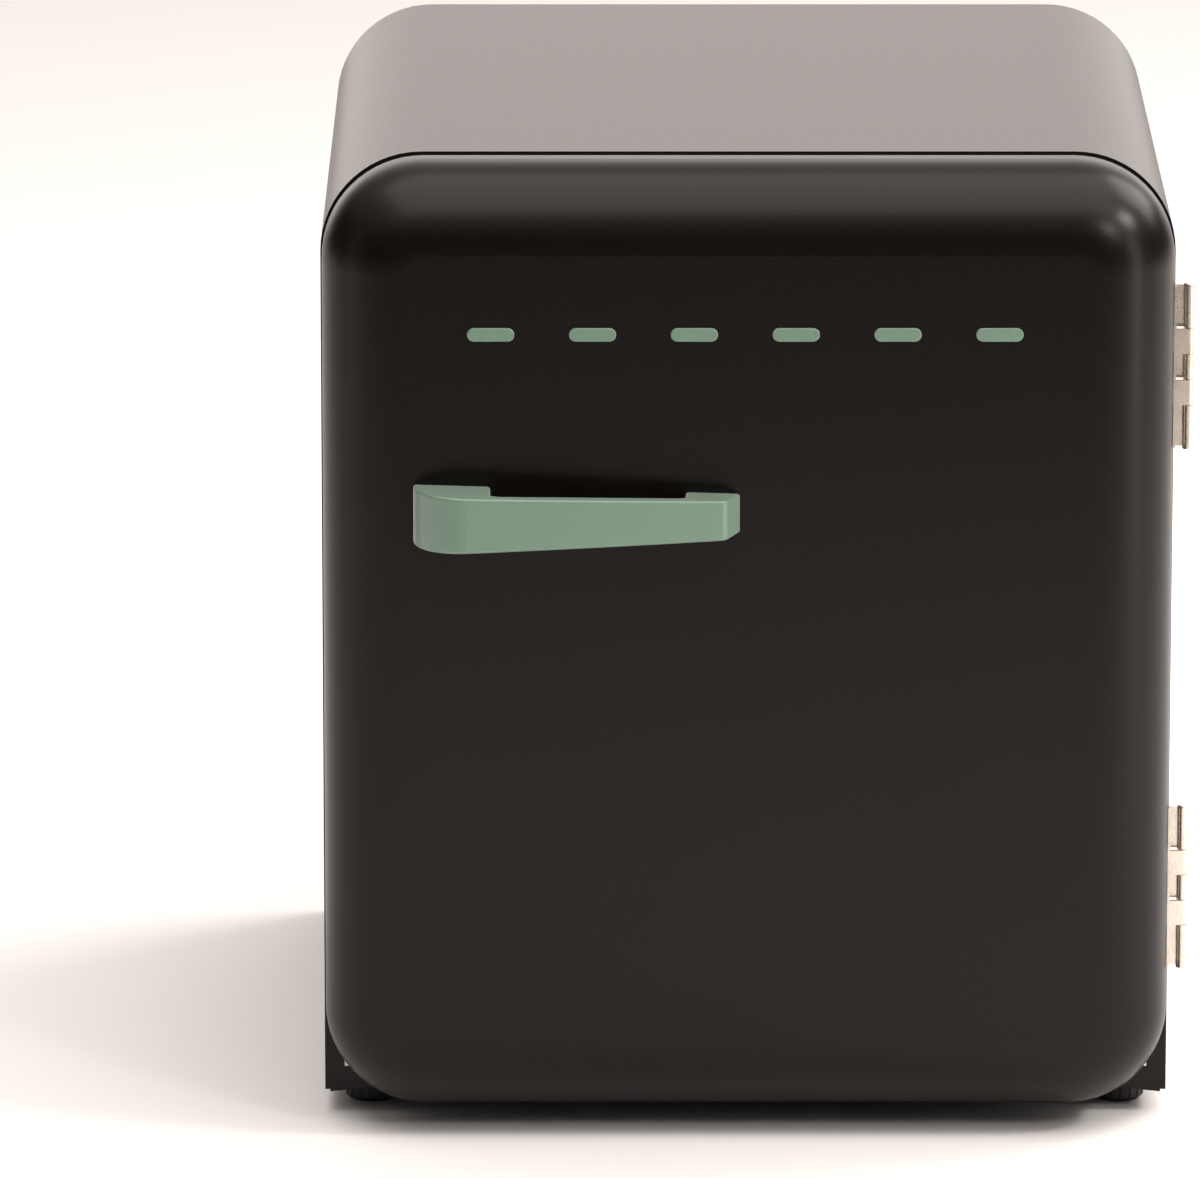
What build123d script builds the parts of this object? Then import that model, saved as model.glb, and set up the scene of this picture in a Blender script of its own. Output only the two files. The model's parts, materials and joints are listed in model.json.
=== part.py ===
from build123d import *
from math import cos, radians, sin
import os

# A retro table-top mini fridge with one right-hung door, in millimetres.
# Working frame: x = 0 is the cabinet's centre line, y = 0 its front plane with
# +y to the back, and z = 0 the floor. PLAN and FRONT carry that frame to
# the model's own frame, whose origin is the middle of the whole object's footprint.

# ---- cabinet ----
CAB_W = 437.0
CAB_H = 510.0
CAB_D = 396.0
CAB_BASE = 12.5         # underside of the side sheets
CORNER_R = 52.0         # top corners of the cabinet, all four corners of the door
SHEET = 0.8             # painted steel sheet
PLATE = 1.2             # heavier steel of the base
FLANGE = 10.0           # sheet folded in at the front of the wrapper
HALF = CAB_W / 2
BACK_Y = 384.0          # face of the back panel, set into the wrapper

# ---- compressor bay at the bottom of the back ----
BAY_Y = 236.0
BAY_TOP = 186.0
PAN_Z = CAB_BASE + SHEET
FLOOR_Z = PAN_Z + PLATE

# ---- inner liner ----
SKIN = 1.5              # thermoformed plastic
LINER_HALF = 183.5
LINER_BOT = 50.0
LINER_TOP = 470.0
LINER_BACK = 350.0
STEP_Y = 212.0
STEP_Z = 208.0
LINER_R = 14.0
INNER_HALF = LINER_HALF - SKIN
RUNNER_LEVELS = {150.0: 204.0, 232.0: 342.0, 290.0: 342.0}   # shelf height: rear end
RUNNER_REACH = 9.0
RUNNER_T = 3.0

# ---- door ----
GAP = 7.0
DOOR_W = 435.0
DOOR_BOT = 11.5
DOOR_TOP = 509.5
DOOR_T = 50.0
DOOR_EDGE_R = 42.0      # soft front edge all round
DOOR_SKIN = 1.5
DOOR_FRONT = -(GAP + DOOR_T)
DOOR_H = DOOR_TOP - DOOR_BOT
DOOR_MID = (DOOR_TOP + DOOR_BOT) / 2
DYKE_OUT = 28.0         # how far the door's inner rim stands into the cabinet
BIN_OUT = 55.0
BIN_HALF = 148.5
BIN_WALL = 2.4

# ---- hinges ----
HINGE_X = 225.5
HINGE_Y = -GAP / 2
BARREL_R = 2.7
PIN_R = 1.5
PIN_PLAY = 0.05
LEAF_T = 2.0
LEAF_IN = 203.5
LEAF_EDGE = 219.0
KNUCKLES = (22.0, 13.0, 13.0, 13.0, 22.0)
KNUCKLE_GAP = 0.4
UPPER_HINGE_Z = 356.5
LOWER_HINGE_Z = 80.5
HINGE_L = sum(KNUCKLES) + 4 * KNUCKLE_GAP
SCREW_X = 211.5

# ---- handle ----
HANDLE_Z = 334.0
HANDLE_L = -170.5
HANDLE_R = -4.5
HANDLE_REACH = 29.0

# ---- feet ----
FOOT_X = 195.0
FOOT_Y = 31.0
FOOT_R = 13.5
FOOT_H = 9.0
STEM_R = 4.0
REAR_FOOT_X = 190.0
REAR_FOOT_Y = 366.0
REAR_FOOT_R = 12.0

# ---- cooling system ----
TUBE_R = 2.4
WIRE_R = 0.7
COND_Y = 397.0
COND_HALF = 172.0
COND_TOP = 474.0
COND_PITCH = 34.0
COND_RUNS = 8
COND_START_X = 179.0
COND_END_Z = 212.0
RISER_X = 190.0
CLIP_REAR = 402.0
COMP_X = 88.0
COMP_Y = 314.0
COMP_A = 78.0           # half length and half width of the compressor's shell
COMP_B = 53.0
COMP_BOT = 30.0
COMP_TOP = 150.0
COMP_FEET = (150.0, 88.0)
MOUNT_T = 2.5
DRIER_X = -60.0
DRIER_Y = 352.0
GLAND_X = -150.0
GLAND_Z = 30.0

# ---- freezer box, flap and drip tray ----
BOX_X0, BOX_X1 = -165.0, 95.0
BOX_Z0, BOX_Z1 = 357.0, 462.0
BOX_Y0, BOX_Y1 = 72.0, 290.0
BOX_WALL = 1.5
FLAP_T = 8.0
FLAP_Y = 56.0
FLAP_AXIS_X = 92.0
FLAP_Z0, FLAP_Z1 = 357.5, 461.0
FLAP_PIN_R = 2.0
FRAME_Y = 62.0
TRAY_X0, TRAY_X1 = -150.0, 80.0
TRAY_Y0, TRAY_Y1 = 76.0, 282.0
TRAY_Z0, TRAY_Z1 = 322.0, 344.8
TRAY_WALL = 2.0
RAIL_Z = 339.5

# ---- shelf and thermostat ----
SHELF_Z = 232.0
SHELF_HALF = 177.0
SHELF_Y0, SHELF_Y1 = 68.0, 340.0
SHELF_FRAME_R = 2.5
SHELF_WIRE_R = 1.25
SHELF_WIRES = 21
KNOB_X = 153.0
KNOB_Z = 424.0
KNOB_R = 17.0
KNOB_FRONT = 68.0
THERMO_Y0, THERMO_Y1 = 82.0, 170.0
SPINDLE_R = 3.0

# ---- the working frame's place in the model's frame ----
FRONT_REACH = GAP + DOOR_T + HANDLE_REACH
CAB_X = -(HINGE_X + BARREL_R - HALF) / 2
CAB_Y = (FRONT_REACH - CLIP_REAR) / 2
ORIGIN = (CAB_X, CAB_Y, 0)
COMP_AXIS = (CAB_X + COMP_X, CAB_Y + COMP_Y, 0)
PLAN = Plane(origin=ORIGIN)
FRONT = Plane(origin=ORIGIN, x_dir=(1, 0, 0), z_dir=(0, -1, 0))

os.makedirs("parts", exist_ok=True)


def at(y):
    """An elevation plane at depth y, drawn with x to the right and y up."""
    return FRONT.offset(-y)


def save(builder, name):
    """Label a finished sub-part and write it to its own STEP file."""
    builder.part.label = name
    export_step(builder.part, f"parts/{name}.step")


def block(x_span, y_span, z_span, mode=Mode.ADD):
    """A box between two limits on each axis, in the part being built on PLAN."""
    spans = (x_span, y_span, z_span)
    with Locations(tuple((low + high) / 2 for low, high in spans)):
        return Box(*(high - low for low, high in spans), mode=mode)


def rod(x, y, z_span, radius, mode=Mode.ADD):
    """An upright cylinder between two heights, in the part being built on PLAN."""
    low, high = z_span
    with Locations((x, y, (low + high) / 2)):
        return Cylinder(radius, high - low, mode=mode)


def dowel(x, z, y_span, radius, mode=Mode.ADD):
    """A cylinder running front to back, in the part being built on PLAN."""
    low, high = y_span
    with Locations((x, (low + high) / 2, z)):
        return Cylinder(radius, high - low, rotation=(90, 0, 0), mode=mode)


def arch_slab(y_span, inset, bottom, mode=Mode.ADD):
    """A slab of the cabinet's outline, square below and round at the top, between two depths."""
    low, high = y_span
    height = CAB_H - inset - bottom
    with BuildSketch(at(high)) as outline:
        with Locations((0, bottom + height / 2)):
            Rectangle(CAB_W - 2 * inset, height)
        fillet(outline.vertices().group_by(Axis.Y)[-1], CORNER_R - inset)
    extrude(outline.sketch, amount=high - low, mode=mode)


def tube(path_points, radii, radius):
    """A round tube along straight runs joined by tangent arcs."""
    with BuildPart() as bent:
        with BuildLine(PLAN):
            path = FilletPolyline(*path_points, radius=radii)
        with BuildSketch(Plane(origin=path @ 0, z_dir=path % 0)):
            Circle(radius)
        sweep()
    return bent


# ================= cabinet shell =================

def make_outer_wrapper():
    """One sheet bent over both sides and the top, folded in at front, back and bottom."""
    with BuildPart(PLAN) as wrapper:
        arch_slab((0, CAB_D), 0, CAB_BASE)
        arch_slab((SHEET, CAB_D - SHEET), SHEET, CAB_BASE - SHEET, Mode.SUBTRACT)
        arch_slab((-SHEET, 2 * SHEET), FLANGE, CAB_BASE - SHEET, Mode.SUBTRACT)
        arch_slab((CAB_D - 2 * SHEET, CAB_D + SHEET), FLANGE, CAB_BASE - SHEET, Mode.SUBTRACT)
        for side in (-1, 1):
            outer, inner = side * (HALF - SHEET), side * (LEAF_IN - SHEET)
            block(sorted((outer, inner)), (SHEET, CAB_D - SHEET), (CAB_BASE, PAN_Z))
    save(wrapper, "outer_wrapper")


def make_back_panel():
    """The flat sheet that closes the foam at the back, above the compressor bay."""
    with BuildPart(PLAN) as panel:
        arch_slab((BACK_Y, BACK_Y + SHEET), SHEET, BAY_TOP)
        for x in (-90, 0, 90):
            block((x - 18, x + 18), (BACK_Y + SHEET, BACK_Y + 2 * SHEET), (BAY_TOP + 20, CAB_H - 24))
    save(panel, "back_panel")


def make_bay_panel():
    """The bent sheet that lines the compressor bay: a wall and a ceiling."""
    half = HALF - SHEET
    with BuildPart(PLAN) as bay:
        block((-half, half), (BAY_Y, BAY_Y + SHEET), (FLOOR_Z, BAY_TOP))
        block((-half, half), (BAY_Y, BACK_Y), (BAY_TOP - SHEET, BAY_TOP))
        for x in (-120, 120):
            block((x - 30, x + 30), (BAY_Y + SHEET, BAY_Y + 2 * SHEET), (FLOOR_Z + 20, BAY_TOP - 20))
    save(bay, "bay_panel")


def liner_solid(grow):
    """The compartment's volume with its step over the compressor, grown by a wall.

    It is made in the working frame, and add() carries it to PLAN with the part it joins.
    """
    with BuildPart() as hollow:
        with BuildSketch(Plane.YZ) as side:
            with BuildLine():
                Polyline(
                    (-grow, LINER_BOT + SKIN - grow),
                    (STEP_Y - SKIN + grow, LINER_BOT + SKIN - grow),
                    (STEP_Y - SKIN + grow, STEP_Z + SKIN - grow),
                    (LINER_BACK - SKIN + grow, STEP_Z + SKIN - grow),
                    (LINER_BACK - SKIN + grow, LINER_TOP - SKIN + grow),
                    (-grow, LINER_TOP - SKIN + grow),
                    close=True,
                )
            make_face()
            fillet(side.vertices().filter_by(lambda v: v.X > 0), LINER_R - SKIN + grow)
        extrude(amount=LINER_HALF, both=True)
        with BuildSketch(Plane.XZ):
            with Locations((0, (LINER_BOT + LINER_TOP) / 2)):
                RectangleRounded(2 * (INNER_HALF + grow), LINER_TOP - LINER_BOT - 2 * (SKIN - grow),
                                 LINER_R - SKIN + grow)
        extrude(amount=LINER_BACK, both=True, mode=Mode.INTERSECT)
    return hollow.part


def make_inner_liner():
    """The white plastic compartment, its front flange and the shelf runners on its walls."""
    outside = liner_solid(SKIN)
    inside = liner_solid(0)
    with BuildPart(PLAN) as liner:
        add(outside)
        block((-HALF, HALF), (-2 * SKIN, 0), (0, CAB_H), Mode.SUBTRACT)
        arch_slab((0, SKIN), FLANGE + 0.2, 2 * CAB_BASE)
        add(inside, mode=Mode.SUBTRACT)
        block((-INNER_HALF, INNER_HALF), (-2 * SKIN, 4 * SKIN),
              (LINER_BOT + LINER_R, LINER_TOP - LINER_R), Mode.SUBTRACT)
        for level, rear in RUNNER_LEVELS.items():
            for side in (-1, 1):
                x_span = sorted((side * (INNER_HALF - RUNNER_REACH), side * (INNER_HALF + SKIN / 2)))
                under = level - SHELF_FRAME_R - 0.5
                over = level + SHELF_FRAME_R + 2.5
                block(x_span, (34, rear), (under - RUNNER_T, under))
                block(x_span, (60, rear), (over, over + RUNNER_T))
    save(liner, "inner_liner")


def make_foam_core():
    """Foam poured between the wrapper, the liner and the two rear panels."""
    outside = liner_solid(SKIN)
    with BuildPart(PLAN) as foam:
        arch_slab((SKIN + 0.1, BACK_Y), SHEET, FLOOR_Z)
        add(outside, mode=Mode.SUBTRACT)
        block((-HALF, HALF), (BAY_Y, CAB_D), (0, BAY_TOP), Mode.SUBTRACT)
        for side in (-1, 1):
            rod(side * FOOT_X, FOOT_Y, (FLOOR_Z - 1, 34), 7.5, Mode.SUBTRACT)
    save(foam, "foam_core")


def make_base_pan():
    """The steel pan under the cabinet, with vents below the compressor bay."""
    half = HALF - SHEET - 1
    with BuildPart(PLAN) as pan:
        block((-half, half), (SHEET, CAB_D - SHEET - PLATE), (PAN_Z, FLOOR_Z))
        block((-HALF + FLANGE, HALF - FLANGE), (0, PLATE), (PAN_Z, 2 * CAB_BASE - 0.3))
        block((-half, half), (CAB_D - SHEET - 2 * PLATE, CAB_D - SHEET - PLATE), (PAN_Z, 42))
        for side in (-1, 1):
            rod(side * FOOT_X, FOOT_Y, (PAN_Z - 1, FLOOR_Z + 1), 7.5, Mode.SUBTRACT)
            rod(side * REAR_FOOT_X, REAR_FOOT_Y, (PAN_Z - 1, FLOOR_Z + 1), 6, Mode.SUBTRACT)
        for x, y in compressor_corners():
            rod(x, y, (PAN_Z - 1, FLOOR_Z + 1), 3.2, Mode.SUBTRACT)
        for row in range(7):
            x = -176 + 22 * row
            block((x, x + 8), (262, 372), (PAN_Z - 1, FLOOR_Z + 1), Mode.SUBTRACT)
        dowel(GLAND_X, GLAND_Z, (CAB_D - 10, CAB_D), 6.0, Mode.SUBTRACT)
    save(pan, "base_pan")


def make_foot_brackets():
    """Two corner brackets with sloped lips, each with a threaded sleeve for its foot."""
    with BuildPart(PLAN) as brackets:
        for side in (-1, 1):
            with BuildSketch(at(54)):
                with BuildLine():
                    Polyline(
                        (side * (HALF - 2.6), CAB_BASE),
                        (side * (HALF - 2.6), CAB_BASE - 2.5),
                        (side * (HALF - 21.5), CAB_BASE - 0.5),
                        (side * (HALF - 48), CAB_BASE - 0.5),
                        (side * (HALF - 48), CAB_BASE),
                        close=True,
                    )
                make_face()
            extrude(amount=50)
            rod(side * FOOT_X, FOOT_Y, (CAB_BASE - 0.4, 33), 7)
            rod(side * FOOT_X, FOOT_Y, (CAB_BASE - 4, 32), STEM_R + PIN_PLAY, Mode.SUBTRACT)
    save(brackets, "foot_brackets")


def make_front_foot(side, name):
    """A levelling foot: a ribbed disc on a threaded stem, screwed up into its bracket."""
    with BuildPart(PLAN) as foot:
        centre = (CAB_X + side * FOOT_X, CAB_Y + FOOT_Y, 0)
        with BuildSketch(Plane(origin=centre, x_dir=(1, 0, 0), z_dir=(0, -1, 0))):
            with BuildLine():
                Polyline(
                    (0, 0), (FOOT_R - 2, 0), (FOOT_R, 2), (FOOT_R, FOOT_H - 1.5),
                    (FOOT_R - 1.5, FOOT_H), (STEM_R + 2, FOOT_H), (STEM_R + 2, FOOT_H + 0.8),
                    (STEM_R, FOOT_H + 0.8), (STEM_R, 30), (STEM_R - 1, 31), (0, 31), close=True,
                )
            make_face()
        revolve(axis=Axis(centre, (0, 0, 1)))
        for step in range(16):
            angle = radians(step * 360 / 16)
            reach = FOOT_R + 0.6
            rod(side * FOOT_X + reach * cos(angle), FOOT_Y + reach * sin(angle),
                (2.2, FOOT_H + 1), 1.4, Mode.SUBTRACT)
    save(foot, name)


def make_rear_feet():
    """Two fixed moulded feet plugged into the pan at the back."""
    with BuildPart(PLAN) as feet:
        for side in (-1, 1):
            rod(side * REAR_FOOT_X, REAR_FOOT_Y, (0, PAN_Z), REAR_FOOT_R)
            rod(side * REAR_FOOT_X, REAR_FOOT_Y, (PAN_Z, 20), 5.9)
        chamfer(feet.edges().group_by(Axis.Z)[0], 1.5)
    save(feet, "rear_feet")


# ================= cooling system =================


def compressor_corners():
    """The four fixing points of the compressor."""
    along, across = COMP_FEET
    return [(COMP_X + sx * along / 2, COMP_Y + sy * across / 2) for sx in (-1, 1) for sy in (-1, 1)]


def make_compressor():
    """The hermetic shell: two drawn halves with a weld flange, and three stub tubes."""
    with BuildPart(PLAN) as comp:
        with BuildSketch(Plane(origin=COMP_AXIS).offset(COMP_BOT)):
            Ellipse(COMP_A, COMP_B)
        extrude(amount=COMP_TOP - COMP_BOT)
        fillet(comp.edges().group_by(Axis.Z)[-1], 34)
        fillet(comp.edges().group_by(Axis.Z)[0], 18)
        with BuildSketch(Plane(origin=COMP_AXIS).offset(88)):
            Ellipse(COMP_A + 4, COMP_B + 4)
        extrude(amount=4)
        rod(COMP_X - 30, COMP_Y, (COMP_TOP - 6, COMP_TOP + 10), 4)
        with Locations((COMP_X + COMP_A, COMP_Y, 108)):
            Cylinder(4, 16, rotation=(0, 90, 0))
        with Locations((COMP_X + 20, COMP_Y + COMP_B, 74)):
            Cylinder(3.5, 24, rotation=(90, 0, 0))
    save(comp, "compressor")


def make_compressor_mounts():
    """The foot plate, and the rubber grommets and bolts that hold it to the pan."""
    along, across = COMP_FEET
    with BuildPart(PLAN) as plate:
        with BuildSketch(Plane(origin=COMP_AXIS).offset(COMP_BOT - MOUNT_T)):
            RectangleRounded(along + 26, across + 26, 12)
            Ellipse(COMP_A - 32, COMP_B - 26, mode=Mode.SUBTRACT)
        extrude(amount=MOUNT_T)
        for x, y in compressor_corners():
            rod(x, y, (COMP_BOT - 4, COMP_BOT + 1), 6.0, Mode.SUBTRACT)
    save(plate, "compressor_mount_plate")

    with BuildPart(PLAN) as grommets:
        for x, y in compressor_corners():
            rod(x, y, (FLOOR_Z, COMP_BOT - MOUNT_T), 9)
            rod(x, y, (COMP_BOT - MOUNT_T, COMP_BOT), 5.9)
            rod(x, y, (COMP_BOT, COMP_BOT + 3.5), 8)
            rod(x, y, (FLOOR_Z - 1, COMP_BOT + 5), 3.1, Mode.SUBTRACT)
    save(grommets, "compressor_grommets")

    with BuildPart(PLAN) as bolts:
        washer_z = COMP_BOT + 3.5
        for x, y in compressor_corners():
            rod(x, y, (8.5, washer_z + 1), 3)
            rod(x, y, (washer_z, washer_z + 1.2), 8)
            for low, high in ((washer_z + 1.2, washer_z + 6), (PAN_Z - 4, PAN_Z)):
                with BuildSketch(PLAN.offset(low)):
                    with Locations((x, y)):
                        RegularPolygon(5.6, 6)
                extrude(amount=high - low)
    save(bolts, "compressor_bolts")


def make_start_relay_cover():
    """The plastic cover over the start relay, hugging the compressor's end."""
    with BuildPart(PLAN) as cover:
        block((COMP_X - COMP_A - 26, COMP_X - COMP_A + 22), (COMP_Y - 26, COMP_Y + 26), (98, 140))
        fillet(cover.edges().filter_by(Axis.Z).group_by(Axis.X)[0], 6)
        fillet(cover.faces().sort_by(Axis.Z)[-1].edges().group_by(Axis.X)[0], 2)
        with BuildSketch(Plane(origin=COMP_AXIS).offset(90)):
            Ellipse(COMP_A + 0.3, COMP_B + 0.3)
        extrude(amount=60, mode=Mode.SUBTRACT)
    save(cover, "start_relay_cover")


def make_condenser():
    """A serpentine tube behind the back panel with wires welded across both faces."""
    points = [(COND_START_X, COND_Y, COND_TOP)]
    radii = []
    for run in range(COND_RUNS):
        z = COND_TOP - run * COND_PITCH
        side = -1 if run % 2 == 0 else 1
        points.append((side * COND_HALF, COND_Y, z))
        radii.append(COND_PITCH / 2 - 0.5)
        if run < COND_RUNS - 1:
            points.append((side * COND_HALF, COND_Y, z - COND_PITCH))
            radii.append(COND_PITCH / 2 - 0.5)
    last_z = COND_TOP - (COND_RUNS - 1) * COND_PITCH
    points.append((side * COND_HALF, COND_Y, COND_END_Z))
    save(tube(points, radii, TUBE_R), "condenser_tube")

    wire_z = (last_z - 12, COND_TOP + 12)
    with BuildPart(PLAN) as wires:
        for step in range(22):
            x = 14 * (step - 10.5)
            for face in (-1, 1):
                rod(x, COND_Y + face * (TUBE_R + WIRE_R - 0.2), wire_z, WIRE_R)
    save(wires, "condenser_wires")

    with BuildPart(PLAN) as clips:
        for x in (-140, 140):
            for z in (COND_TOP - COND_PITCH, last_z + COND_PITCH):
                block((x - 4, x + 4), (BACK_Y + SHEET, CLIP_REAR), (z - 9, z + 9))
                block((x - 6, x + 6), (COND_Y - TUBE_R - 0.1, COND_Y + TUBE_R + 0.1),
                      (z - TUBE_R - 0.1, z + TUBE_R + 0.1), Mode.SUBTRACT)
                block((x - 10, x + 10), (BACK_Y + SHEET, BACK_Y + 3.4), (z - 14, z + 14))
    save(clips, "condenser_clips")


def make_tubes():
    """The copper lines between the compressor, condenser, drier and evaporator."""
    stub_x = COMP_X + COMP_A + 8
    discharge = [(stub_x, COMP_Y, 108), (RISER_X, COMP_Y, 108), (RISER_X, COND_Y, 108),
                 (RISER_X, COND_Y, COND_TOP), (COND_START_X + 0.1, COND_Y, COND_TOP)]
    save(tube(discharge, [7.0, 14.0, 9.0], TUBE_R), "discharge_tube")

    top = COMP_TOP + 10
    suction = [(COMP_X - 30, COMP_Y, top), (COMP_X - 30, COMP_Y, top + 14),
               (-20, COMP_Y + 24, top + 14), (-20, COMP_Y + 24, BAY_TOP - SHEET)]
    save(tube(suction, [6.0, 5.0], 3.2), "suction_tube")

    liquid = [(COND_HALF, COND_Y, COND_END_Z - 0.1), (COND_HALF, COND_Y, 121),
              (COND_HALF, COND_Y - 5, 50), (DRIER_X, DRIER_Y + 30, 50), (DRIER_X, DRIER_Y, 50),
              (DRIER_X, DRIER_Y, 64)]
    save(tube(liquid, [14.0, 16.0, 14.0, 6.5], TUBE_R), "liquid_tube")

    capillary = [(DRIER_X, DRIER_Y, 150), (DRIER_X, DRIER_Y, 168), (DRIER_X - 40, DRIER_Y - 30, 168),
                 (DRIER_X - 40, DRIER_Y - 30, BAY_TOP - SHEET)]
    save(tube(capillary, [7.0, 7.0], 0.9), "capillary_tube")


def make_filter_drier():
    """The copper drier capsule with necked ends, standing in the bay."""
    with BuildPart(PLAN) as drier:
        rod(DRIER_X, DRIER_Y, (76, 138), 9)
        for low, high, wide_first in ((64, 76, False), (138, 150, True)):
            with Locations((DRIER_X, DRIER_Y, (low + high) / 2)):
                if wide_first:
                    Cone(9, 3.2, high - low)
                else:
                    Cone(3.2, 9, high - low)
    save(drier, "filter_drier")


def make_cord_gland():
    """The bush in the rear rail where the mains lead enters."""
    rail = CAB_D - SHEET - 2 * PLATE
    with BuildPart(PLAN) as gland:
        dowel(GLAND_X, GLAND_Z, (rail - 3, rail + PLATE + 4), 5.9)
        dowel(GLAND_X, GLAND_Z, (rail - 3, rail), 8)
        dowel(GLAND_X, GLAND_Z, (rail + PLATE, rail + PLATE + 4), 9)
        dowel(GLAND_X, GLAND_Z, (rail - 5, rail + PLATE + 6), 3.5, Mode.SUBTRACT)
    save(gland, "cord_gland")


def make_back_panel_screws():
    """Pan-head screws round the edge of the back panel."""
    spots = [(x, z) for x in (-196, 196) for z in (206, 300, 400, 470)] + [(-75, 496), (75, 496)]
    with BuildPart(PLAN) as screws:
        for x, z in spots:
            dowel(x, z, (BACK_Y - 6, BACK_Y + SHEET + 1), 1.9)
            dowel(x, z, (BACK_Y + SHEET, BACK_Y + SHEET + 2.4), 4)
            block((x - 2.6, x + 2.6), (BACK_Y + SHEET + 1.4, BACK_Y + 5), (z - 0.6, z + 0.6), Mode.SUBTRACT)
            block((x - 0.6, x + 0.6), (BACK_Y + SHEET + 1.4, BACK_Y + 5), (z - 2.6, z + 2.6), Mode.SUBTRACT)
    save(screws, "back_panel_screws")


# ================= freezer box, drip tray, shelf, thermostat =================

def rounded_tube(plane, x_span, z_span, radius, depth, mode=Mode.ADD):
    """A rounded rectangle drawn on an elevation plane and run back by a depth."""
    with BuildSketch(plane) as outline:
        with Locations((sum(x_span) / 2, sum(z_span) / 2)):
            RectangleRounded(x_span[1] - x_span[0], z_span[1] - z_span[0], radius)
    extrude(outline.sketch, amount=-depth, mode=mode)


def make_freezer_box():
    """The roll-bond evaporator bent into a box, with raised refrigerant channels."""
    with BuildPart(PLAN) as box:
        rounded_tube(at(BOX_Y0), (BOX_X0, BOX_X1), (BOX_Z0, BOX_Z1), 10, BOX_Y1 - BOX_Y0)
        rounded_tube(at(BOX_Y0), (BOX_X0 + BOX_WALL, BOX_X1 - BOX_WALL),
                     (BOX_Z0 + BOX_WALL, BOX_Z1 - BOX_WALL), 8.5, BOX_Y1 - BOX_Y0 - BOX_WALL, Mode.SUBTRACT)
        for step in range(7):
            y = BOX_Y0 + 26 + 28 * step
            block((BOX_X0 + 18, BOX_X1 - 18), (y, y + 6), (BOX_Z1 - 0.2, BOX_Z1 + 1.4))
    save(box, "freezer_box")

    with BuildPart(PLAN) as hangers:
        for x in (BOX_X0 + 11, BOX_X1 - 11):
            for y in (BOX_Y0 + 18, BOX_Y1 - 14):
                rod(x, y, (BOX_Z1, LINER_TOP - SKIN), 5)
    save(hangers, "freezer_hangers")


def make_freezer_frame():
    """The plastic bezel round the freezer's mouth, with the ears that carry the flap."""
    x0, x1 = BOX_X0 - 3, BOX_X1 + 3
    z0, z1 = BOX_Z0 - 3, BOX_Z1 + 3
    with BuildPart(PLAN) as frame:
        rounded_tube(at(FRAME_Y), (x0, x1), (z0, z1), 12, BOX_Y0 + 10 - FRAME_Y)
        rounded_tube(at(BOX_Y0), (BOX_X0, BOX_X1), (BOX_Z0, BOX_Z1), 10, 20, Mode.SUBTRACT)
        rounded_tube(at(FRAME_Y - 1), (BOX_X0 + 6, BOX_X1 - 6), (BOX_Z0 + 6, BOX_Z1 - 6), 8, 20,
                     Mode.SUBTRACT)
        for low, high in ((z0, FLAP_Z0 - 0.5), (FLAP_Z1 + 0.5, z1)):
            block((FLAP_AXIS_X - 5, FLAP_AXIS_X + 5), (FLAP_Y - 5, FRAME_Y + 1), (low, high))
            rod(FLAP_AXIS_X, FLAP_Y, (low - 1, high + 1), FLAP_PIN_R, Mode.SUBTRACT)
    save(frame, "freezer_frame")

    with BuildPart(PLAN) as pins:
        rod(FLAP_AXIS_X, FLAP_Y, (z0, FLAP_Z0 + 8), FLAP_PIN_R)
        rod(FLAP_AXIS_X, FLAP_Y, (FLAP_Z1 - 8, z1), FLAP_PIN_R)
    save(pins, "flap_pins")


def make_freezer_flap():
    """The freezer's own door: a panel with a finger lip, rounded at its hinge edge."""
    x0 = BOX_X0 + 1
    x1 = FLAP_AXIS_X + FLAP_T / 2
    with BuildPart(PLAN) as flap:
        block((x0, x1), (FLAP_Y - FLAP_T / 2, FLAP_Y + FLAP_T / 2), (FLAP_Z0, FLAP_Z1))
        fillet(flap.edges().filter_by(Axis.Z).group_by(Axis.X)[-1], FLAP_T / 2 - 0.1)
        fillet(flap.edges().filter_by(Axis.Z).group_by(Axis.X)[0], 2.5)
        rounded_tube(at(FLAP_Y - FLAP_T), (x0 + 24, x1 - 16), (FLAP_Z0 + 10, FLAP_Z1 - 10), 6,
                     FLAP_T / 2 + 1.5, Mode.SUBTRACT)
        block((x0 + 6, x0 + 12), (FLAP_Y - FLAP_T / 2 - 8, FLAP_Y), (FLAP_Z0 + 28, FLAP_Z1 - 28))
        for low, high in ((FLAP_Z0 - 1, FLAP_Z0 + 8.6), (FLAP_Z1 - 8.6, FLAP_Z1 + 1)):
            rod(FLAP_AXIS_X, FLAP_Y, (low, high), FLAP_PIN_R + PIN_PLAY, Mode.SUBTRACT)
    save(flap, "freezer_flap")


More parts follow.
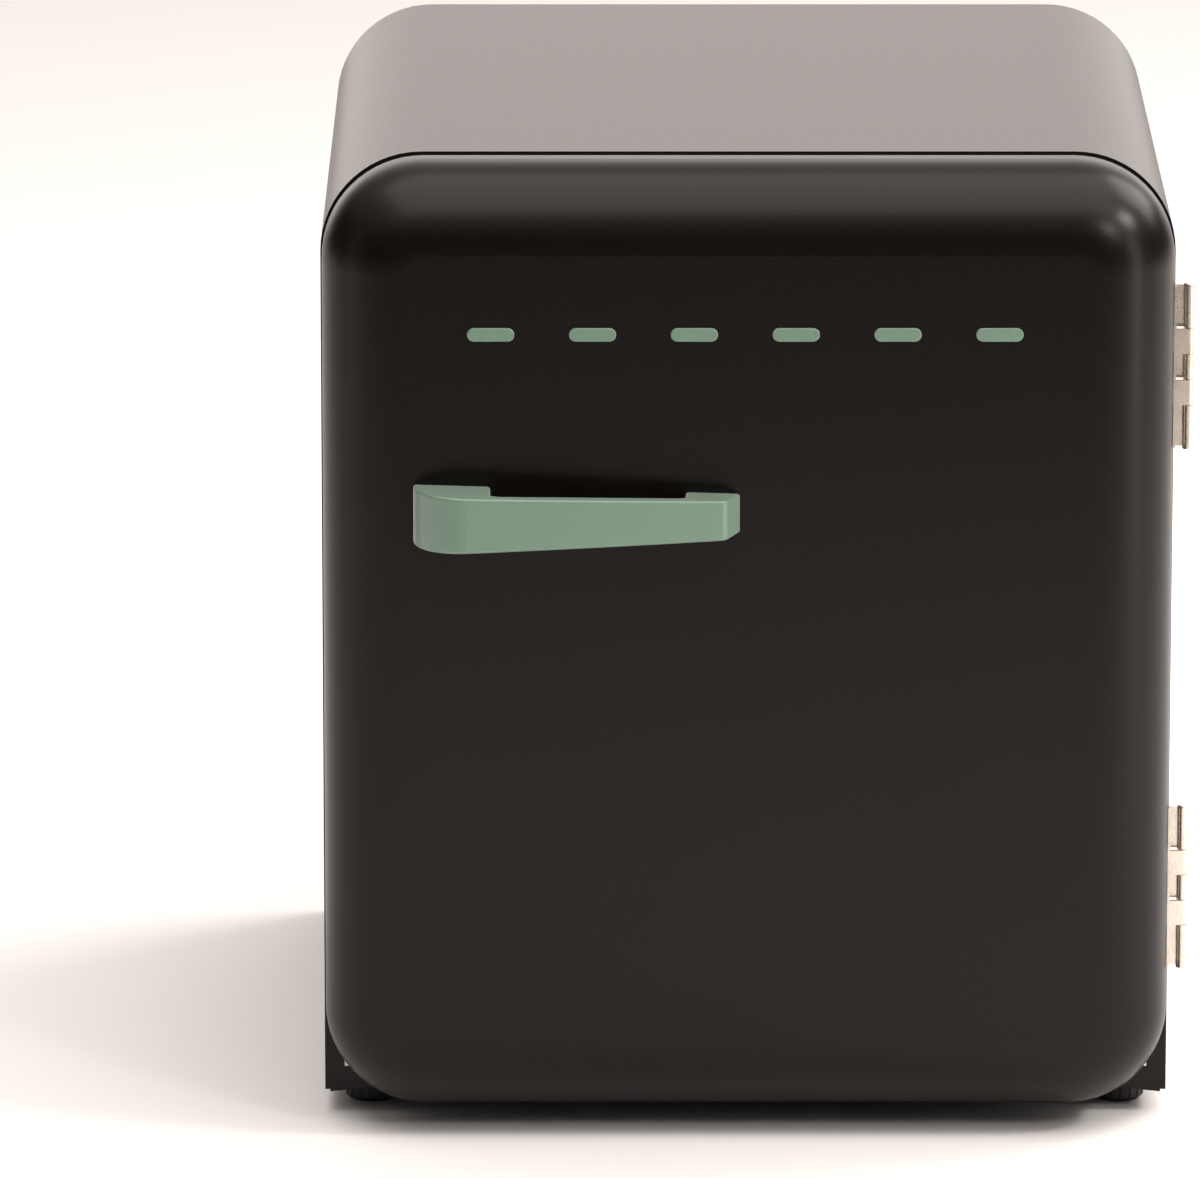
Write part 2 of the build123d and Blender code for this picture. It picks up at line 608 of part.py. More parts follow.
def make_drip_tray():
    """The tray that catches melt water, and the two rails it hangs from."""
    with BuildPart(PLAN) as tray:
        block((TRAY_X0, TRAY_X1), (TRAY_Y0, TRAY_Y1), (TRAY_Z0, TRAY_Z1))
        fillet(tray.edges().filter_by(Axis.Z), 8)
        fillet(tray.faces().sort_by(Axis.Z)[0].edges(), 3)
        with BuildSketch(PLAN.offset(TRAY_Z0 + TRAY_WALL)):
            with Locations(((TRAY_X0 + TRAY_X1) / 2, (TRAY_Y0 + TRAY_Y1) / 2)):
                RectangleRounded(TRAY_X1 - TRAY_X0 - 2 * TRAY_WALL, TRAY_Y1 - TRAY_Y0 - 2 * TRAY_WALL, 6)
        extrude(amount=TRAY_Z1, mode=Mode.SUBTRACT)
        block((TRAY_X0 - 8, TRAY_X0 + 1), (TRAY_Y0 + 10, TRAY_Y1 - 10), (TRAY_Z1 - 2, TRAY_Z1))
        block((TRAY_X1 - 1, TRAY_X1 + 8), (TRAY_Y0 + 10, TRAY_Y1 - 10), (TRAY_Z1 - 2, TRAY_Z1))
        block((TRAY_X0 + 60, TRAY_X1 - 60), (TRAY_Y0 - 10, TRAY_Y0 + 1), (TRAY_Z1 - 3, TRAY_Z1))
    save(tray, "drip_tray")

    with BuildPart(PLAN) as rails:
        for wall, ledge in ((TRAY_X0 - 11.5, TRAY_X0 - 2), (TRAY_X1 + 11.5, TRAY_X1 + 2)):
            outward = -2 if wall < ledge else 2
            block(sorted((wall, wall + outward)), (TRAY_Y0 + 14, TRAY_Y1), (RAIL_Z, BOX_Z0))
            block(sorted((wall, ledge)), (TRAY_Y0 + 14, TRAY_Y1), (RAIL_Z, TRAY_Z1 - 2.4))
    save(rails, "tray_rails")


def make_wire_shelf():
    """A welded wire shelf: a round-rod frame, long wires and two cross bars below them."""
    pitch = 2 * SHELF_HALF / (SHELF_WIRES + 1)
    with BuildPart(PLAN) as shelf:
        with BuildSketch(PLAN.offset(SHELF_Z), mode=Mode.PRIVATE) as outline:
            with Locations((0, (SHELF_Y0 + SHELF_Y1) / 2)):
                RectangleRounded(2 * SHELF_HALF, SHELF_Y1 - SHELF_Y0, 16)
        rim = outline.sketch.face().outer_wire()
        with BuildSketch(Plane(origin=rim @ 0, z_dir=rim % 0)):
            Circle(SHELF_FRAME_R)
        sweep(path=rim)
        for step in range(SHELF_WIRES):
            x = -SHELF_HALF + pitch * (step + 1)
            dowel(x, SHELF_Z + 1.0, (SHELF_Y0, SHELF_Y1), SHELF_WIRE_R)
        for y in (SHELF_Y0 + 90, SHELF_Y1 - 90):
            with Locations((0, y, SHELF_Z - 0.4)):
                Cylinder(2.0, 2 * SHELF_HALF, rotation=(0, 90, 0))
    save(shelf, "wire_shelf")


def make_thermostat():
    """The housing on the right wall, the thermostat inside it and its knob."""
    with BuildPart(PLAN) as housing:
        block((KNOB_X - 26, INNER_HALF), (THERMO_Y0, THERMO_Y1), (KNOB_Z - 26, KNOB_Z + 26))
        fillet(housing.edges().filter_by(Axis.Z).group_by(Axis.X)[0], 8)
        fillet(housing.faces().sort_by(Axis.X)[0].edges().filter_by(Axis.Y), 3)
        block((KNOB_X - 24, INNER_HALF + 1), (THERMO_Y0 + 2, THERMO_Y1 - 2), (KNOB_Z - 24, KNOB_Z + 24),
              Mode.SUBTRACT)
        dowel(KNOB_X, KNOB_Z, (THERMO_Y0 - 1, THERMO_Y0 + 3), 5, Mode.SUBTRACT)
        for step in range(5):
            y = THERMO_Y0 + 22 + 12 * step
            block((KNOB_X - 14, KNOB_X + 18), (y, y + 4), (KNOB_Z - 27, KNOB_Z - 22), Mode.SUBTRACT)
    save(housing, "thermostat_housing")

    with BuildPart(PLAN) as thermostat:
        block((KNOB_X - 16, KNOB_X + 20), (THERMO_Y0 + 4, THERMO_Y0 + 34), (KNOB_Z - 16, KNOB_Z + 16))
        dowel(KNOB_X, KNOB_Z, (KNOB_FRONT + 4, THERMO_Y0 + 5), SPINDLE_R)
    save(thermostat, "thermostat")

    with BuildPart(PLAN) as knob:
        dowel(KNOB_X, KNOB_Z, (KNOB_FRONT + 4, THERMO_Y0 - 2), KNOB_R)
        fillet(knob.edges().group_by(Axis.Y)[0], 2)
        block((KNOB_X - 3.5, KNOB_X + 3.5), (KNOB_FRONT, KNOB_FRONT + 8), (KNOB_Z - 14, KNOB_Z + 14))
        dowel(KNOB_X, KNOB_Z, (KNOB_FRONT + 3.5, THERMO_Y0), SPINDLE_R + PIN_PLAY, Mode.SUBTRACT)
        for step in range(24):
            angle = radians(step * 15)
            reach = KNOB_R + 0.5
            dowel(KNOB_X + reach * cos(angle), KNOB_Z + reach * sin(angle), (KNOB_FRONT + 7, THERMO_Y0),
                  1.2, Mode.SUBTRACT)
    save(knob, "thermostat_knob")


# ================= door =================

def door_solid(inset, back):
    """The door's rounded volume, inset from its outside, from a back plane to the front."""
    with BuildPart() as solid:
        with BuildSketch(at(back)):
            with Locations((0, DOOR_MID)):
                RectangleRounded(DOOR_W - 2 * inset, DOOR_H - 2 * inset, CORNER_R - inset)
        extrude(amount=back - DOOR_FRONT - inset)
        fillet(solid.edges().group_by(Axis.Y)[0], DOOR_EDGE_R - inset)
    return solid.part


def make_door_shell():
    """The painted outer skin, the foam inside it and the row of raised dashes."""
    inner = door_solid(DOOR_SKIN, -GAP)
    with BuildPart() as skin:
        add(door_solid(0, -GAP))
        add(inner, mode=Mode.SUBTRACT)
        for x in (HANDLE_L + 20, HANDLE_R - 12):
            with Locations(Location((CAB_X + x, CAB_Y + DOOR_FRONT, HANDLE_Z), (90, 0, 0))):
                Cylinder(2.2, 10, mode=Mode.SUBTRACT)
    save(skin, "door_skin")

    with BuildPart() as foam:
        add(door_solid(DOOR_SKIN, -GAP - SKIN - 0.1))
    save(foam, "door_foam")

    with BuildPart() as dashes:
        with BuildSketch(at(DOOR_FRONT)):
            with Locations((-2, 427)):
                with GridLocations(51.6, 1, 6, 1):
                    SlotOverall(24, 7)
        extrude(amount=1.2)
        fillet(dashes.faces().group_by(Axis.Y)[0].edges(), 0.6)
    save(dashes, "badge_dashes")


def make_door_liner():
    """The white inner panel with a hollow raised rim that stands into the cabinet."""
    ring_z = (62.0, 458.0)
    ring_w = 344.0
    with BuildPart() as liner:
        with BuildSketch(at(-GAP)):
            with Locations((0, DOOR_MID)):
                RectangleRounded(DOOR_W - 2 * DOOR_SKIN - 0.4, DOOR_H - 2 * DOOR_SKIN - 0.4,
                                 CORNER_R - DOOR_SKIN - 0.2)
        extrude(amount=SKIN)
        with BuildSketch(at(-GAP)):
            with Locations((0, sum(ring_z) / 2)):
                RectangleRounded(ring_w, ring_z[1] - ring_z[0], 16)
                RectangleRounded(2 * BIN_HALF + 3, ring_z[1] - ring_z[0] - 38, 2.5, mode=Mode.SUBTRACT)
        extrude(amount=-(GAP + DYKE_OUT))
        fillet(liner.faces().sort_by(Axis.Y)[-1].edges(), 4)
        with BuildSketch(at(-GAP - SKIN)):
            with Locations((0, sum(ring_z) / 2)):
                RectangleRounded(ring_w - 2 * SKIN, ring_z[1] - ring_z[0] - 2 * SKIN, 14.5)
                RectangleRounded(2 * BIN_HALF + 3 + 2 * SKIN, ring_z[1] - ring_z[0] - 38 + 2 * SKIN,
                                 4, mode=Mode.SUBTRACT)
        extrude(amount=-(GAP + DYKE_OUT), mode=Mode.SUBTRACT)
    save(liner, "door_liner")


def ring(plane, width, depth, outer_half, z_span, radius, mode=Mode.ADD):
    """A rounded rectangular ring of one width, run toward the back by a depth."""
    height = z_span[1] - z_span[0]
    with BuildSketch(plane) as outline:
        with Locations((0, sum(z_span) / 2)):
            RectangleRounded(2 * outer_half, height, radius)
            RectangleRounded(2 * (outer_half - width), height - 2 * width, radius - width,
                             mode=Mode.SUBTRACT)
    extrude(outline.sketch, amount=-depth, mode=mode)


def make_door_gasket():
    """The folded magnetic seal and the four strip magnets inside its head."""
    magnet = (1.8, 8.0)
    long_half = 150.0
    tall_half = 190.0
    z_span = (30.0, 490.0)
    half = 201.0
    middle = sum(z_span) / 2

    def magnets(mode):
        depth, width = magnet
        y_span = (-3.0, -3.0 + depth)
        for side in (-1, 1):
            x = side * (half - 7)
            block((x - width / 2, x + width / 2), y_span, (middle - tall_half, middle + tall_half), mode)
            z = middle + side * ((z_span[1] - z_span[0]) / 2 - 7)
            block((-long_half, long_half), y_span, (z - width / 2, z + width / 2), mode)

    with BuildPart(PLAN) as gasket:
        ring(at(-GAP), 14, 1.6, half, z_span, 32)
        ring(at(-GAP + 1.6), 8, 1.4, half - 3, (z_span[0] + 3, z_span[1] - 3), 29)
        ring(at(-GAP + 3.0), 14, 3.5, half, z_span, 32)
        magnets(Mode.SUBTRACT)
    save(gasket, "door_gasket")

    with BuildPart(PLAN) as strips:
        magnets(Mode.ADD)
    save(strips, "gasket_magnets")


def make_door_bin(z_span, name):
    """A door bin: an open tray with a slotted front wall that clips between the rims."""
    z0, z1 = z_span
    with BuildPart(PLAN) as tray:
        block((-BIN_HALF, BIN_HALF), (-GAP + 0.2, BIN_OUT), (z0, z1))
        fillet(tray.edges().filter_by(Axis.Z).group_by(Axis.Y)[-1], 18)
        with BuildSketch(PLAN.offset(z0 + BIN_WALL)) as hollow:
            with Locations((0, (BIN_OUT - GAP) / 2)):
                Rectangle(2 * (BIN_HALF - BIN_WALL), BIN_OUT + GAP - 2 * BIN_WALL)
            fillet(hollow.vertices().group_by(Axis.Y)[-1], 18 - BIN_WALL)
        extrude(amount=z1, mode=Mode.SUBTRACT)
        with BuildSketch(at(BIN_OUT + 1)):
            with Locations((0, z0 + (z1 - z0) * 0.55)):
                with GridLocations(24, 1, 10, 1):
                    SlotOverall((z1 - z0) * 0.5, 7, rotation=90)
        extrude(amount=BIN_WALL + 2, mode=Mode.SUBTRACT)
    save(tray, name)


def make_handle():
    """A fixed pull: a bar bowed away from the door on two feet, tapering to the right."""
    foot_l, foot_r = -131.5, -32.0
    tip_l, tip_r = HANDLE_REACH, 17.5
    bar = 7.0
    slant = 7.0
    bow = 1.1
    end_r = 27.0
    corner_r = 4.5
    middle = (HANDLE_L + end_r + HANDLE_R - slant) / 2
    slope = (tip_l - tip_r) / (HANDLE_R - slant - HANDLE_L - end_r)

    def reach(x):
        return tip_l - slope * (x - HANDLE_L - end_r)

    with BuildPart() as handle:
        with BuildSketch(Plane(origin=(CAB_X, CAB_Y + DOOR_FRONT, HANDLE_Z - 20), x_dir=(1, 0, 0),
                               z_dir=(0, 0, 1))) as plan:
            with BuildLine():
                EllipticalCenterArc((HANDLE_L + end_r, 0), end_r, tip_l, 180, arc_size=90)
                ThreePointArc((HANDLE_L + end_r, -tip_l), (middle, -reach(middle) - bow),
                              (HANDLE_R - slant, -tip_r))
                Polyline((HANDLE_R - slant, -tip_r), (HANDLE_R, 0), (HANDLE_L, 0))
            make_face()
            fillet(plan.vertices().group_by(Axis.X)[-2], corner_r)
            with BuildLine():
                Polyline((foot_l, 1), (foot_l, bar - reach(foot_l)), (foot_r, bar - reach(foot_r)),
                         (foot_r, 1), close=True)
            make_face(mode=Mode.SUBTRACT)
            fillet(plan.vertices().filter_by(lambda v: foot_l - 1 < v.X < foot_r + 1 and v.Y < -1), 5)
        extrude(amount=40)
        with BuildSketch(at(0)):
            with BuildLine():
                Polyline((HANDLE_L, HANDLE_Z + 15), (HANDLE_R, HANDLE_Z + 10.2), (HANDLE_R, HANDLE_Z - 10.2),
                         (HANDLE_L, HANDLE_Z - 15.5), close=True)
            make_face()
        extrude(amount=2 * FRONT_REACH, mode=Mode.INTERSECT)
        outer = handle.edges().filter_by(lambda e: e.center().Y < CAB_Y + DOOR_FRONT - 1)
        fillet(outer.filter_by(Axis.Z, reverse=True), 1.6)
    save(handle, "handle")

    with BuildPart(PLAN) as screws:
        for x in (HANDLE_L + 20, HANDLE_R - 12):
            dowel(x, HANDLE_Z, (DOOR_FRONT - 8, DOOR_FRONT + DOOR_SKIN + 1), 2)
            dowel(x, HANDLE_Z, (DOOR_FRONT + DOOR_SKIN, DOOR_FRONT + DOOR_SKIN + 3), 4)
    save(screws, "handle_screws")


# ================= hinges =================

def knuckle_spans(base):
    """The heights of the five knuckles of a hinge, bottom to top."""
    spans, z = [], base
    for length in KNUCKLES:
        spans.append((z, z + length))
        z += length + KNUCKLE_GAP
    return spans


def leaf_holes(base):
    """The heights of a leaf's three screws."""
    return [base + HINGE_L * share for share in (0.15, 0.5, 0.85)]


def make_leaf(base, own, y_span, name):
    """One leaf of a butt hinge: a plate in the gap with its own knuckles on the barrel."""
    with BuildPart(PLAN) as leaf:
        block((LEAF_IN, LEAF_EDGE), y_span, (base, base + HINGE_L))
        for index, (low, high) in enumerate(knuckle_spans(base)):
            if index % 2 == own:
                block((LEAF_EDGE - 1, HINGE_X), y_span, (low, high))
                rod(HINGE_X, HINGE_Y, (low, high), BARREL_R)
        for low, high in knuckle_spans(base):
            rod(HINGE_X, HINGE_Y, (low - 1, high + 1), PIN_R + (PIN_PLAY if own else 0), Mode.SUBTRACT)
        outward = -1 if own == 0 else 1
        face = y_span[0] if own == 0 else y_span[1]
        with Locations(*[Location((SCREW_X, face, z), (-90 * outward, 0, 0)) for z in leaf_holes(base)]):
            CounterSinkHole(1.7, 3.2, depth=LEAF_T + 1, counter_sink_angle=90)
    save(leaf, name)


def make_screws(y_face, into, name):
    """Countersunk screws of both leaves on one side of the gap, one solid each."""
    head = 1.5
    with BuildPart(PLAN) as screws:
        for base in (LOWER_HINGE_Z, UPPER_HINGE_Z):
            for z in leaf_holes(base):
                dowel(SCREW_X, z, sorted((y_face + into * 0.1, y_face + into * 12)), 1.65)
                turn = 90 if into > 0 else -90
                with Locations(Location((SCREW_X, y_face + into * (0.1 + head / 2), z), (turn, 0, 0))):
                    Cone(1.6, 3.1, head)
    save(screws, name)


def make_hinges():
    """Two five-knuckle butt hinges on the right: leaves, pins and screws."""
    cab_leaf = (-LEAF_T, 0)
    door_leaf = (-GAP, -GAP + LEAF_T)
    for base, place in ((UPPER_HINGE_Z, "upper"), (LOWER_HINGE_Z, "lower")):
        make_leaf(base, 0, cab_leaf, f"{place}_hinge_cabinet_leaf")
        make_leaf(base, 1, door_leaf, f"{place}_hinge_door_leaf")
        with BuildPart(PLAN) as pin:
            rod(HINGE_X, HINGE_Y, (base, base + HINGE_L), PIN_R)
            for low, high in ((base - 1.2, base), (base + HINGE_L, base + HINGE_L + 1.2)):
                rod(HINGE_X, HINGE_Y, (low, high), BARREL_R)
            fillet(pin.edges().group_by(Axis.Z)[0] + pin.edges().group_by(Axis.Z)[-1], 0.8)
        save(pin, f"{place}_hinge_pin")
    make_screws(-LEAF_T, 1, "hinge_cabinet_screws")
    make_screws(-GAP + LEAF_T, -1, "hinge_door_screws")


# ================= the whole fridge =================

make_outer_wrapper()
make_back_panel()
make_bay_panel()
make_inner_liner()
make_foam_core()
make_base_pan()
make_foot_brackets()
make_front_foot(-1, "front_foot_left")
make_front_foot(1, "front_foot_right")
make_rear_feet()
make_compressor()
make_compressor_mounts()
make_start_relay_cover()
make_condenser()
make_tubes()
make_filter_drier()
make_cord_gland()
make_back_panel_screws()
make_freezer_box()
make_freezer_frame()
make_freezer_flap()
make_drip_tray()
make_wire_shelf()
make_thermostat()
make_door_shell()
make_door_liner()
make_door_gasket()
make_door_bin((262.0, 318.0), "upper_door_bin")
make_door_bin((84.0, 146.0), "lower_door_bin")
make_handle()
make_hinges()
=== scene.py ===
import json
from math import radians

import bpy
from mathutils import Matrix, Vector


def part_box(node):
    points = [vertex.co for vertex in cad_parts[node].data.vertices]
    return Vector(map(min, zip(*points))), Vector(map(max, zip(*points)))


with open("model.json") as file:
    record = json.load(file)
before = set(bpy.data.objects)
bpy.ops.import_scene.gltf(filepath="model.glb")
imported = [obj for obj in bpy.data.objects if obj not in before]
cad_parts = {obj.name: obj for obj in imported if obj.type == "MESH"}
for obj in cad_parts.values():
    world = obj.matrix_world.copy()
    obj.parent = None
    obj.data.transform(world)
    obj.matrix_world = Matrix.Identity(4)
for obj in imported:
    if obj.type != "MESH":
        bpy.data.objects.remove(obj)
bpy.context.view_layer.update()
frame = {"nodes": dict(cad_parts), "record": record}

RECORD = frame["record"]
MM = 0.001
WARM = (1.0, 0.92, 0.87)         # the tint of the studio light

# ---- places read from the frame ----
CAB_LOW, CAB_HIGH = (Vector(c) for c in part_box("outer_wrapper"))
CAB_X = (CAB_LOW.x + CAB_HIGH.x) / 2
CAB_Y = CAB_LOW.y

# ---- edges and camera ----
SHARP_ANGLE = 32                    # degrees between faces above which an edge stays crisp
CAMERA_LEFT = 75.6 * MM             # from the cabinet's centre line
CAMERA_AWAY = 5685 * MM             # in front of the cabinet's front plane
CAMERA_HEIGHT = 1681.4 * MM
CAMERA_TILT = 13.845                # degrees below level
SENSOR = 36
LENS = 341.4
CLIP_END = 50

# ---- surroundings: strength from and to, over a direction's Y or Z from and to ----
GLOW_BEHIND = (0.03, 2.1, 0.72, 0.97)
GLOW_ABOVE = (0.0, 0.9, 0.3, 0.85)

# ---- lights: name, place, aimed at, size and watts ----
LIGHTS = (
    ("back_right", (2.2, 1.2, 2.2), (0, 0, 0.2), (1.8, 1.8), 64),
    ("overhead", (0.1, -0.5, 2.8), (0, -0.1, 0), (3.2, 3.0), 72),
    ("corner_glint", (1.75, -2.3, 1.9), (0.1, -0.1, 0.4), (0.4, 0.4), 16),
    ("corner_sheen", (2.0, -0.85, 1.85), (0.2, -0.15, 0.5), (0.4, 0.4), 26),
    ("right_strip", (1.5, -0.9, 0.5), (0, -0.2, 0.3), (0.3, 1.0), 4),
    ("left_strip", (-1.5, -0.5, 0.5), (0, -0.2, 0.3), (0.3, 1.0), 0.5),
)


# ================= materials =================

def new_material(name):
    """An empty node material and its Principled shader."""
    material = bpy.data.materials.new(name)
    material.use_nodes = True
    shader = material.node_tree.nodes["Principled BSDF"]
    return material, shader


def node(tree, kind, **settings):
    """A node of one kind with its plain settings made."""
    made = tree.nodes.new(kind)
    for key, value in settings.items():
        setattr(made, key, value)
    return made


def coords(tree, stretch=(1, 1, 1)):
    """Object coordinates, stretched along each axis."""
    source = node(tree, "ShaderNodeTexCoord")
    mapping = node(tree, "ShaderNodeMapping")
    mapping.inputs["Scale"].default_value = stretch
    tree.links.new(source.outputs["Object"], mapping.inputs["Vector"])
    return mapping.outputs["Vector"]


def noise(tree, vector, scale, detail=3.0):
    """A noise texture's factor."""
    made = node(tree, "ShaderNodeTexNoise")
    made.inputs["Scale"].default_value = scale
    made.inputs["Detail"].default_value = detail
    tree.links.new(vector, made.inputs["Vector"])
    return made.outputs["Fac"]


def spread(tree, factor, low, high, from_low=0.3, from_high=0.7):
    """A factor mapped to a span of values."""
    made = node(tree, "ShaderNodeMapRange")
    made.inputs["From Min"].default_value = from_low
    made.inputs["From Max"].default_value = from_high
    made.inputs["To Min"].default_value = low
    made.inputs["To Max"].default_value = high
    tree.links.new(factor, made.inputs["Value"])
    return made.outputs["Result"]


def blend_colours(tree, factor, first, second):
    """Two colours mixed by a factor."""
    made = node(tree, "ShaderNodeMix", data_type="RGBA")
    made.inputs["A"].default_value = (*first, 1)
    made.inputs["B"].default_value = (*second, 1)
    tree.links.new(factor, made.inputs["Factor"])
    return made.outputs["Result"]


def bump(tree, shader, height, distance):
    """A bump in the shader's normal, from a height."""
    made = node(tree, "ShaderNodeBump")
    made.inputs["Distance"].default_value = distance
    tree.links.new(height, made.inputs["Height"])
    tree.links.new(made.outputs["Normal"], shader.inputs["Normal"])


def shade(base, shift):
    """A colour made lighter or darker by a share of itself."""
    return tuple(min(1.0, c * (1 + shift)) for c in base)


def surface(name, base, vary=0.08, vary_scale=30, rough=(0.35, 0.45), rough_scale=60,
            grain_scale=1500, grain=0.00002, stretch=(1, 1, 1), **constants):
    """A finished surface: uneven colour, uneven gloss and a fine grain in the normal."""
    material, shader = new_material(name)
    tree = material.node_tree
    place = coords(tree)
    fine = coords(tree, stretch)
    colour = spread(tree, noise(tree, place, vary_scale), 0, 1)
    mixed = blend_colours(tree, colour, shade(base, -vary), shade(base, vary))
    tree.links.new(mixed, shader.inputs["Base Color"])
    gloss = spread(tree, noise(tree, fine, rough_scale), *rough)
    tree.links.new(gloss, shader.inputs["Roughness"])
    bump(tree, shader, noise(tree, fine, grain_scale, 2.0), grain)
    for socket, value in constants.items():
        shader.inputs[socket.replace("_", " ")].default_value = value
    return material


def galvanised(name):
    """Zinc-coated sheet with its crystalline spangle."""
    material, shader = new_material(name)
    tree = material.node_tree
    place = coords(tree)
    cells = node(tree, "ShaderNodeTexVoronoi", feature="F1")
    cells.inputs["Scale"].default_value = 260
    tree.links.new(place, cells.inputs["Vector"])
    tone = node(tree, "ShaderNodeSeparateColor")
    tree.links.new(cells.outputs["Color"], tone.inputs["Color"])
    mixed = blend_colours(tree, tone.outputs["Red"], (0.47, 0.48, 0.49), (0.55, 0.56, 0.57))
    tree.links.new(mixed, shader.inputs["Base Color"])
    tree.links.new(spread(tree, tone.outputs["Green"], 0.40, 0.47, 0, 1), shader.inputs["Roughness"])
    bump(tree, shader, noise(tree, place, 400), 0.00002)
    shader.inputs["Metallic"].default_value = 0.9
    return material


def clear_plastic(name):
    """Clear moulded styrene with faint flow marks."""
    material, shader = new_material(name)
    tree = material.node_tree
    place = coords(tree, (1, 1, 4))
    flow = noise(tree, place, 18)
    mixed = blend_colours(tree, spread(tree, flow, 0, 1), (0.86, 0.93, 0.95), (0.93, 0.97, 0.98))
    tree.links.new(mixed, shader.inputs["Base Color"])
    tree.links.new(spread(tree, flow, 0.06, 0.14), shader.inputs["Roughness"])
    bump(tree, shader, noise(tree, place, 60), 0.00008)
    shader.inputs["Transmission Weight"].default_value = 0.75
    shader.inputs["IOR"].default_value = 1.45
    shader.inputs["Alpha"].default_value = 0.6
    return material


def foam_material(name):
    """Rigid foam: small closed cells under a rough skin."""
    material, shader = new_material(name)
    tree = material.node_tree
    place = coords(tree)
    cells = node(tree, "ShaderNodeTexVoronoi", feature="DISTANCE_TO_EDGE")
    cells.inputs["Scale"].default_value = 650
    tree.links.new(place, cells.inputs["Vector"])
    walls = spread(tree, cells.outputs["Distance"], 0, 1, 0, 0.3)
    mixed = blend_colours(tree, walls, (0.80, 0.70, 0.42), (0.66, 0.52, 0.26))
    tree.links.new(mixed, shader.inputs["Base Color"])
    tree.links.new(spread(tree, walls, 0.95, 0.8, 0, 1), shader.inputs["Roughness"])
    bump(tree, shader, walls, 0.0004)
    return material


def make_materials():
    """One material for each of the record's slots."""
    return {
        "black_paint": surface("black_paint", (0.0040, 0.0026, 0.0022), 0.04, 9, (0.30, 0.32), 300,
                               900, 0.00005, Specular_IOR_Level=0.22),
        "galvanised": galvanised("galvanised"),
        "white_plastic": surface("white_plastic", (0.80, 0.81, 0.79), 0.015, 9, (0.28, 0.38), 40,
                                 900, 0.00002),
        "foam": foam_material("foam"),
        "black_plastic": surface("black_plastic", (0.014, 0.013, 0.013), 0.12, 60, (0.5, 0.62), 120,
                                 2600, 0.00004),
        "zinc_steel": surface("zinc_steel", (0.60, 0.60, 0.57), 0.1, 200, (0.28, 0.42), 500,
                              1800, 0.00002, Metallic=1.0),
        "black_enamel": surface("black_enamel", (0.012, 0.012, 0.013), 0.04, 25, (0.27, 0.30), 250,
                                900, 0.00001),
        "rubber": surface("rubber", (0.022, 0.021, 0.021), 0.15, 80, (0.62, 0.78), 150, 1800, 0.00004),
        "magnet": surface("magnet", (0.06, 0.05, 0.045), 0.2, 150, (0.5, 0.7), 200, 1500, 0.00003),
        "copper": surface("copper", (0.62, 0.30, 0.17), 0.22, 45, (0.24, 0.46), 80, 700, 0.00002,
                          Metallic=1.0),
        "aluminium": surface("aluminium", (0.66, 0.67, 0.68), 0.05, 60, (0.26, 0.40), 160,
                             900, 0.00002, (1, 12, 1), Metallic=1.0),
        "nickel": surface("nickel", (0.72, 0.65, 0.57), 0.07, 120, (0.24, 0.36), 400,
                          1500, 0.00001, (6, 6, 1), Metallic=1.0),
        "clear_plastic": clear_plastic("clear_plastic"),
        "white_wire": surface("white_wire", (0.84, 0.84, 0.82), 0.02, 40, (0.16, 0.26), 90, 500, 0.00003),
        "green_handle": surface("green_handle", (0.135, 0.235, 0.170), 0.015, 12, (0.42, 0.46), 300,
                                2200, 0.00001, Specular_IOR_Level=0.8, Coat_Weight=0.3, Coat_Roughness=0.2,
                                Sheen_Weight=1.0, Sheen_Roughness=0.3),
        "knob_plastic": surface("knob_plastic", (0.72, 0.73, 0.72), 0.02, 60, (0.3, 0.4), 120,
                                1500, 0.00002),
    }


MATERIALS = make_materials()


def dress_frame():
    """Every CAD node gets its slot's material and smooth faces with crisp edges."""
    slots = {row["node"]: row["material_slot"] for row in RECORD["subparts"]}
    for name, part in frame["nodes"].items():
        part.data.materials.clear()
        part.data.materials.append(MATERIALS[slots[name]])
        part.data.shade_smooth()
        part.data.set_sharp_from_angle(angle=radians(SHARP_ANGLE))


dress_frame()


# ================= stage, light and camera =================

def make_floor():
    """A plain pale floor under and around the fridge."""
    mesh = bpy.data.meshes.new("floor")
    floor = bpy.data.objects.new("floor", mesh)
    bpy.context.collection.objects.link(floor)
    left, right, front, back = -4.0, 4.0, -1.7, 5.0
    mesh.from_pydata([(left, front, 0), (right, front, 0), (right, back, 0), (left, back, 0)], [],
                     [(0, 1, 2, 3)])
    mesh.materials.append(surface("floor_paper", (0.86, 0.86, 0.86), 0.004, 2, (0.75, 0.85), 4,
                                  300, 0.00002, Specular_IOR_Level=0.1))


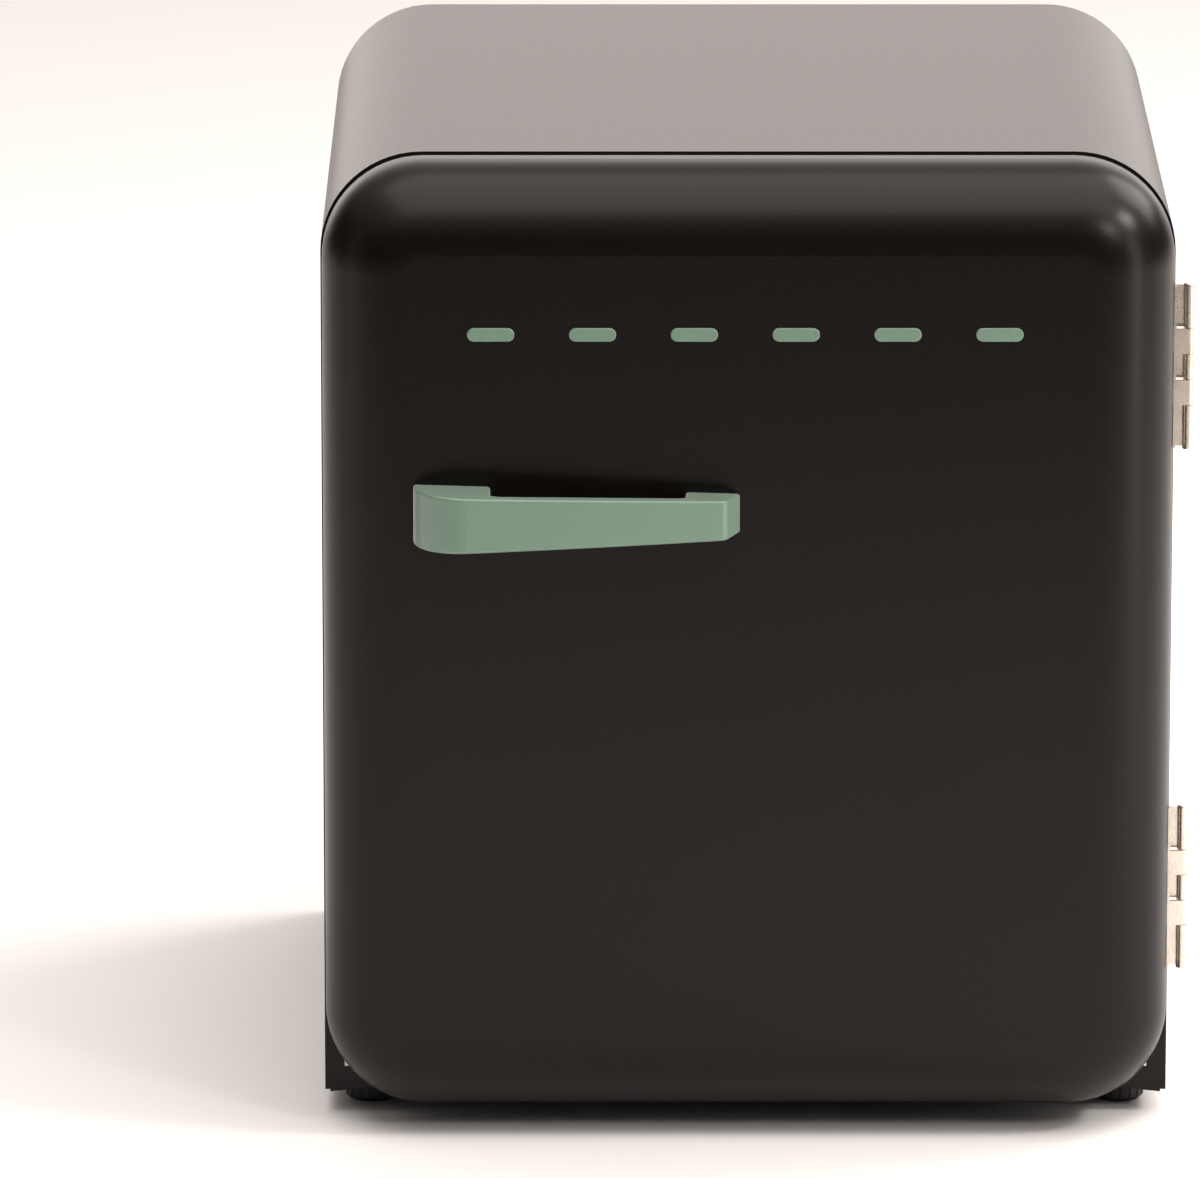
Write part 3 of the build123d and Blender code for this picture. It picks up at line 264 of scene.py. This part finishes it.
def make_world():
    """Soft studio surroundings: bright behind and above, darker in front."""
    world = bpy.data.worlds.new("studio")
    bpy.context.scene.world = world
    world.use_nodes = True
    tree = world.node_tree
    tree.nodes.clear()
    source = node(tree, "ShaderNodeTexCoord")
    parts = node(tree, "ShaderNodeSeparateXYZ")
    tree.links.new(source.outputs["Generated"], parts.inputs["Vector"])
    behind = spread(tree, parts.outputs["Y"], *GLOW_BEHIND)
    above = spread(tree, parts.outputs["Z"], *GLOW_ABOVE)
    total = node(tree, "ShaderNodeMath", operation="ADD")
    tree.links.new(behind, total.inputs[0])
    tree.links.new(above, total.inputs[1])
    glow = node(tree, "ShaderNodeBackground")
    glow.inputs["Color"].default_value = (*WARM, 1)
    tree.links.new(total.outputs["Value"], glow.inputs["Strength"])
    plain = node(tree, "ShaderNodeBackground")
    plain.inputs["Color"].default_value = (1, 1, 1, 1)
    path = node(tree, "ShaderNodeLightPath")
    mix = node(tree, "ShaderNodeMixShader")
    tree.links.new(path.outputs["Is Camera Ray"], mix.inputs["Fac"])
    tree.links.new(glow.outputs["Background"], mix.inputs[1])
    tree.links.new(plain.outputs["Background"], mix.inputs[2])
    out = node(tree, "ShaderNodeOutputWorld")
    tree.links.new(mix.outputs["Shader"], out.inputs["Surface"])


def area_light(name, place, aim, size, power):
    """A soft rectangular light that points from one place to another."""
    data = bpy.data.lights.new(name, "AREA")
    data.shape = "RECTANGLE"
    data.size, data.size_y = size
    data.energy = power
    data.color = WARM
    lamp = bpy.data.objects.new(name, data)
    lamp.location = place
    lamp.rotation_euler = (Vector(aim) - Vector(place)).to_track_quat("-Z", "Y").to_euler()
    bpy.context.collection.objects.link(lamp)


def make_lights():
    """Two big soft lights, behind right and overhead, and four small ones for edges and highlights."""
    for row in LIGHTS:
        area_light(*row)


def make_camera():
    """A long lens well back, a little to the left and above."""
    data = bpy.data.cameras.new("camera")
    camera = bpy.data.objects.new("camera", data)
    camera.location = (CAB_X - CAMERA_LEFT, CAB_Y - CAMERA_AWAY, CAMERA_HEIGHT)
    camera.rotation_euler = (radians(90 - CAMERA_TILT), 0, 0)
    data.sensor_width = SENSOR
    data.lens = LENS
    data.clip_end = CLIP_END
    bpy.context.collection.objects.link(camera)
    bpy.context.scene.camera = camera


bpy.context.scene.view_settings.view_transform = "Standard"
make_floor()
make_world()
make_lights()
make_camera()
